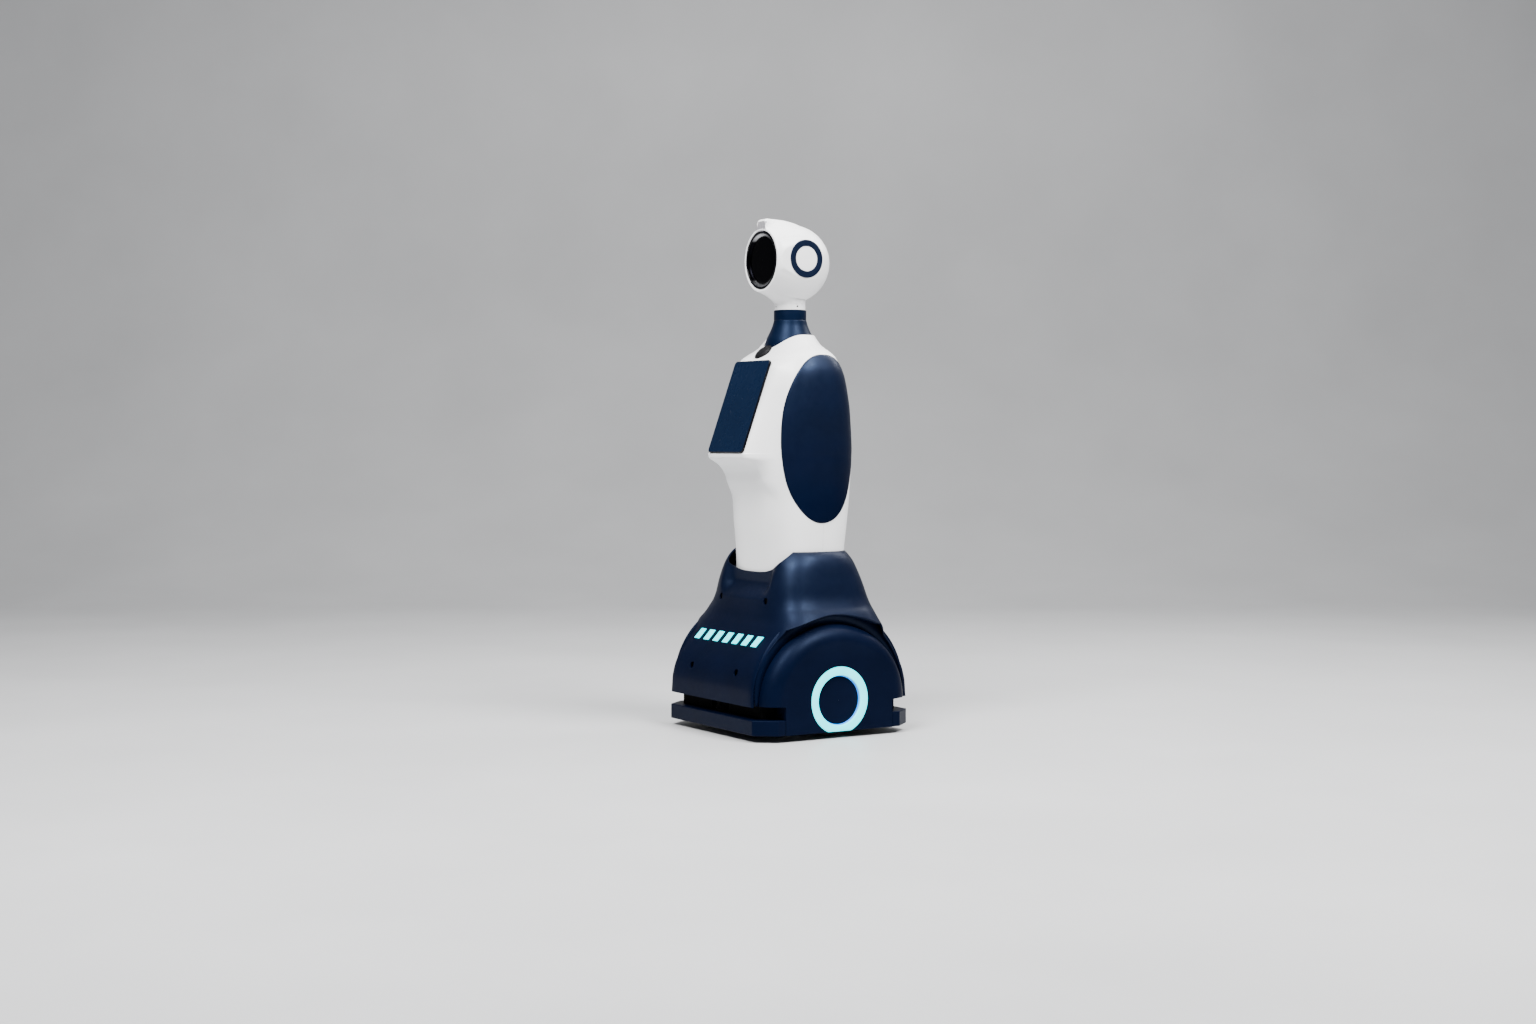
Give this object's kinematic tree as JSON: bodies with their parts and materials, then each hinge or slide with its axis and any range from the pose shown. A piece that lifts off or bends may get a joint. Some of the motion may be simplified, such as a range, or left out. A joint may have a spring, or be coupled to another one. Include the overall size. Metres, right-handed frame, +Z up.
{
  "type": "wheeled companion robot",
  "caption": "Companion robot on a wheeled base: navy skirt and wheel covers with glowing rings, white torso with a leaning chest tablet, and a round turning head.",
  "frame": {"origin": "on the floor under the middle of the drive base, midway between the two drive wheels", "axes": "+Z up, -Y the way the robot faces, +X the robot's own left"},
  "size_m": [0.504, 0.482, 1.35],
  "materials": {
    "navy_cover": "satin",
    "navy_panel": "satin",
    "light": "glowing diffuser",
    "white_shell": "satin",
    "blue_neck": "satin",
    "tablet_glass": "polished",
    "face_glass": "polished",
    "camera_glass": "smoked",
    "black_gloss": "gloss",
    "charcoal_plastic": "matte",
    "steel": "brushed",
    "bright_ring": "polished",
    "alu": "satin",
    "tyre": "matte",
    "circuit_board": "satin",
    "contact_brass": "polished"
  },
  "bodies": {
    "root": {"base_tray": "navy_cover", "skirt_shell": "navy_cover", "left_wheel_cover": "navy_cover", "right_wheel_cover": "navy_cover", "left_light_ring": "light", "right_light_ring": "light", "left_hub_disc": "navy_cover", "right_hub_disc": "navy_cover", "front_light_bars": "light", "skirt_screws": "steel", "chassis_plate": "steel", "deck_posts": "alu", "motor_mounts": "alu", "battery_pack": "charcoal_plastic", "main_controller": "circuit_board", "motor_driver": "alu", "scanner_bases": "charcoal_plastic", "caster_plates": "steel", "charge_contacts": "contact_brass", "button_bezel": "charcoal_plastic", "spine_column": "alu", "torso_ribs": "steel", "torso_front_shell": "white_shell", "torso_back_shell": "white_shell", "left_side_panel": "navy_panel", "right_side_panel": "navy_panel", "tablet_frame": "black_gloss", "tablet_glass": "tablet_glass", "tablet_bracket": "steel", "chest_sensor": "charcoal_plastic", "torso_computer": "charcoal_plastic", "speakers": "charcoal_plastic", "neck_flare": "blue_neck", "neck_band": "blue_neck", "neck_servo": "charcoal_plastic"},
    "head": {"neck_ring": "white_shell", "neck_screws": "charcoal_plastic", "head_shell": "white_shell", "crown_cap": "white_shell", "camera_window": "camera_glass", "face_bezel": "black_gloss", "face_trim_ring": "bright_ring", "face_display": "face_glass", "left_ear_ring": "navy_panel", "right_ear_ring": "navy_panel", "left_ear_disc": "white_shell", "right_ear_disc": "white_shell", "head_frame": "alu"},
    "left_wheel": {"left_wheel_hub": "alu", "left_tyre": "tyre"},
    "right_wheel": {"right_wheel_hub": "alu", "right_tyre": "tyre"},
    "front_caster": {"front_caster_fork": "steel"},
    "rear_caster": {"rear_caster_fork": "steel"},
    "front_caster_roller": {"front_caster_wheel": "tyre"},
    "rear_caster_roller": {"rear_caster_wheel": "tyre"},
    "front_scanner": {"front_scanner_rotor": "black_gloss"},
    "rear_scanner": {"rear_scanner_rotor": "black_gloss"},
    "power_switch": {"power_button": "bright_ring"}
  },
  "joints": [
    {"name": "head_pan", "type": "hinge", "parent": "root", "child": "head", "pos_m": [0, 0.0065, 1.1], "axis": [0, 0, 1], "range_deg": [-90, 90]},
    {"name": "left_wheel_spin", "type": "hinge", "parent": "root", "child": "left_wheel", "pos_m": [0.19, 0, 0.098], "axis": [1, 0, 0], "continuous": true},
    {"name": "right_wheel_spin", "type": "hinge", "parent": "root", "child": "right_wheel", "pos_m": [-0.19, 0, 0.098], "axis": [1, 0, 0], "continuous": true},
    {"name": "front_caster_swivel", "type": "hinge", "parent": "root", "child": "front_caster", "pos_m": [0, -0.18, 0.048], "axis": [0, 0, 1], "continuous": true},
    {"name": "front_caster_roll", "type": "hinge", "parent": "front_caster", "child": "front_caster_roller", "pos_m": [0, -0.166, 0.019], "axis": [1, 0, 0], "continuous": true},
    {"name": "rear_caster_swivel", "type": "hinge", "parent": "root", "child": "rear_caster", "pos_m": [0, 0.18, 0.048], "axis": [0, 0, 1], "continuous": true},
    {"name": "rear_caster_roll", "type": "hinge", "parent": "rear_caster", "child": "rear_caster_roller", "pos_m": [0, 0.194, 0.019], "axis": [1, 0, 0], "continuous": true},
    {"name": "front_scanner_spin", "type": "hinge", "parent": "root", "child": "front_scanner", "pos_m": [0, -0.182, 0.075], "axis": [0, 0, 1], "continuous": true},
    {"name": "rear_scanner_spin", "type": "hinge", "parent": "root", "child": "rear_scanner", "pos_m": [0, 0.182, 0.075], "axis": [0, 0, 1], "continuous": true},
    {"name": "power_button_press", "type": "slide", "parent": "root", "child": "power_switch", "axis": [0, -1, 0], "range_m": [0, 0.003], "stiffness_N_per_m": 600, "springref_m": -0.002}
  ]
}
